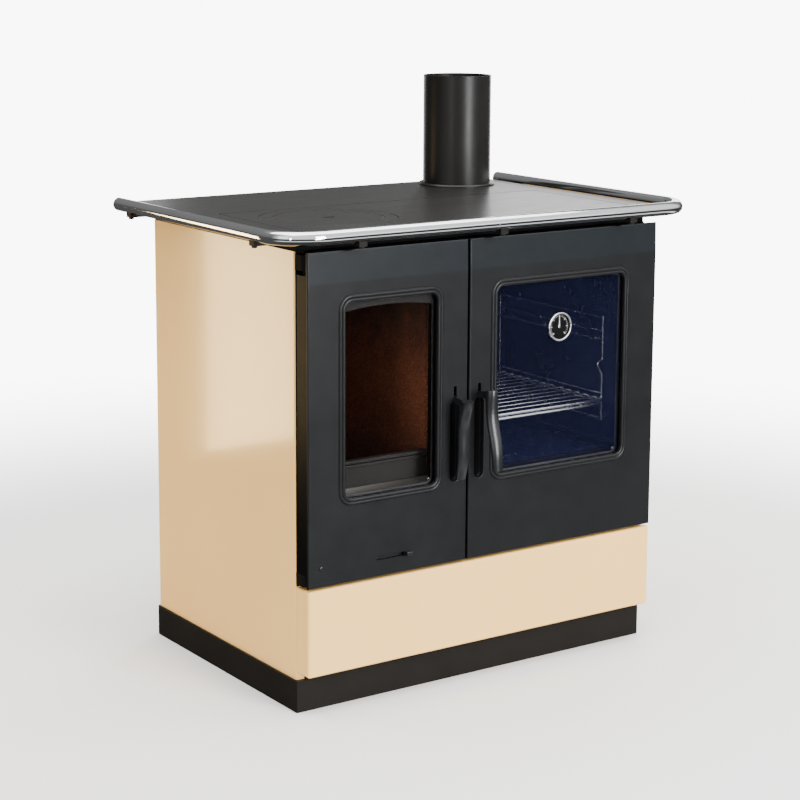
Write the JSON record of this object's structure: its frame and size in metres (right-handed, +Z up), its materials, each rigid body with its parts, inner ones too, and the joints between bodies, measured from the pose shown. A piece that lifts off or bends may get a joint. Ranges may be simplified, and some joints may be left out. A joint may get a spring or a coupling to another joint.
{
  "type": "wood cookstove",
  "caption": "Free-standing wood-burning range cooker: glazed firebox door, glazed oven door with thermometer, cast hob with lift-out ring, rail, drawer and flue.",
  "frame": {"origin": "on the floor, in the middle of the plinth's footprint", "axes": "+X to the right as one faces the stove, +Y to the back, +Z up; the doors face -Y"},
  "size_m": [0.921, 0.6729, 1.075],
  "materials": {
    "cream_enamel": "glossy vitreous enamel",
    "black_paint": "satin black paint",
    "galvanised_steel": "plain galvanised sheet",
    "carcass_black": "matt heat-resistant black",
    "cast_iron_raw": "rough, heat-greyed",
    "fire_brick": "rough fire brick",
    "ash_pan_steel": "plain sheet",
    "oven_enamel": "glossy dark blue enamel",
    "chrome_wire": "bright",
    "hob_iron": "ground, satin black",
    "flue_black": "satin black",
    "rail_chrome": "polished",
    "door_iron": "anthracite matt enamel",
    "handle_black": "satin black",
    "door_glass": "clear ceramic glass",
    "glass_frame_steel": "dark sheet",
    "seal_rope": "braided glass fibre",
    "gauge_chrome": "polished",
    "gauge_dial_black": "matt",
    "gauge_needle_white": "matt",
    "gauge_glass": "clear"
  },
  "bodies": {
    "carcass": {"plinth": "black_paint", "base_pan": "galvanised_steel", "left_side_panel": "cream_enamel", "right_side_panel": "cream_enamel", "back_panel": "black_paint", "front_frame": "carcass_black", "door_keepers": "carcass_black", "inner_casing": "galvanised_steel", "top_frame": "black_paint", "firebox_shell": "cast_iron_raw", "fire_bricks": "fire_brick", "baffle": "fire_brick", "grate": "cast_iron_raw", "log_retainer": "cast_iron_raw", "oven_box": "oven_enamel", "smoke_box": "carcass_black", "left_oven_rack": "chrome_wire", "right_oven_rack": "chrome_wire", "hob_frame": "hob_iron", "flue_collar": "flue_black", "flue_pipe": "flue_black", "left_rail": "rail_chrome", "right_rail": "rail_chrome", "rail_sleeve": "rail_chrome", "rail_side_brackets": "black_paint", "rail_front_brackets": "black_paint", "drawer_case": "galvanised_steel", "drawer_runners": "galvanised_steel", "left_door_hinges": "black_paint", "right_door_hinges": "black_paint"},
    "firebox_door": {"firebox_door": "door_iron", "firebox_glass": "door_glass", "firebox_glass_frame": "glass_frame_steel", "firebox_door_seal": "seal_rope", "air_wash_plate": "cast_iron_raw", "air_slide_guides": "glass_frame_steel", "firebox_handle_pin": "galvanised_steel"},
    "firebox_handle": {"firebox_handle": "handle_black"},
    "air_slide": {"air_slide": "handle_black"},
    "oven_door": {"oven_door": "door_iron", "oven_glass": "door_glass", "oven_glass_frame": "glass_frame_steel", "oven_door_seal": "seal_rope", "oven_handle_pin": "galvanised_steel", "gauge_case": "gauge_chrome", "gauge_bezel": "gauge_chrome", "gauge_dial": "gauge_dial_black", "gauge_lens": "gauge_glass", "gauge_nut": "galvanised_steel"},
    "oven_handle": {"oven_handle": "handle_black"},
    "gauge_needle": {"gauge_needle": "gauge_needle_white"},
    "drawer": {"drawer_front": "cream_enamel", "drawer_backing": "galvanised_steel", "drawer_box": "galvanised_steel"},
    "oven_shelf": {"oven_shelf": "chrome_wire"},
    "ash_pan": {"ash_pan": "ash_pan_steel"},
    "hob_plate": {"hob_plate": "hob_iron"},
    "hob_ring": {"hob_ring": "hob_iron"},
    "hob_lid": {"hob_lid": "hob_iron"}
  },
  "joints": [
    {"name": "firebox_door_hinge", "type": "hinge", "parent": "carcass", "child": "firebox_door", "pos_m": [-0.38, -0.27, 0.52], "axis": [0, 0, -1], "range_deg": [0, 110]},
    {"name": "firebox_handle_pivot", "type": "hinge", "parent": "firebox_door", "child": "firebox_handle", "pos_m": [-0.079, -0.2793, 0.535], "axis": [-1, 0, 0], "range_deg": [0, 40]},
    {"name": "air_slide_travel", "type": "slide", "parent": "firebox_door", "child": "air_slide", "axis": [-1, 0, 0], "range_m": [0, 0.058]},
    {"name": "oven_door_hinge", "type": "hinge", "parent": "carcass", "child": "oven_door", "pos_m": [0.38, -0.27, 0.52], "axis": [0, 0, 1], "range_deg": [0, 110]},
    {"name": "oven_handle_pivot", "type": "hinge", "parent": "oven_door", "child": "oven_handle", "pos_m": [-0.025, -0.2793, 0.535], "axis": [-1, 0, 0], "range_deg": [-16, 24]},
    {"name": "gauge_needle_turn", "type": "hinge", "parent": "oven_door", "child": "gauge_needle", "pos_m": [0.161, -0.286, 0.642], "axis": [0, 1, 0], "range_deg": [-120, 120]},
    {"name": "drawer_travel", "type": "slide", "parent": "carcass", "child": "drawer", "axis": [0, -1, 0], "range_m": [0, 0.38]},
    {"name": "oven_shelf_travel", "type": "slide", "parent": "carcass", "child": "oven_shelf", "axis": [0, -1, 0], "range_m": [-0.04, 0.035]},
    {"name": "ash_pan_travel", "type": "slide", "parent": "carcass", "child": "ash_pan", "axis": [0, -1, 0], "range_m": [0, 0.066]},
    {"name": "hob_plate_lift", "type": "slide", "parent": "carcass", "child": "hob_plate", "axis": [0, 0, 1], "range_m": [0, 0.12]},
    {"name": "hob_ring_lift", "type": "slide", "parent": "hob_plate", "child": "hob_ring", "axis": [0, 0, 1], "range_m": [0, 0.08]},
    {"name": "hob_lid_lift", "type": "slide", "parent": "hob_ring", "child": "hob_lid", "axis": [0, 0, 1], "range_m": [0, 0.08]}
  ]
}
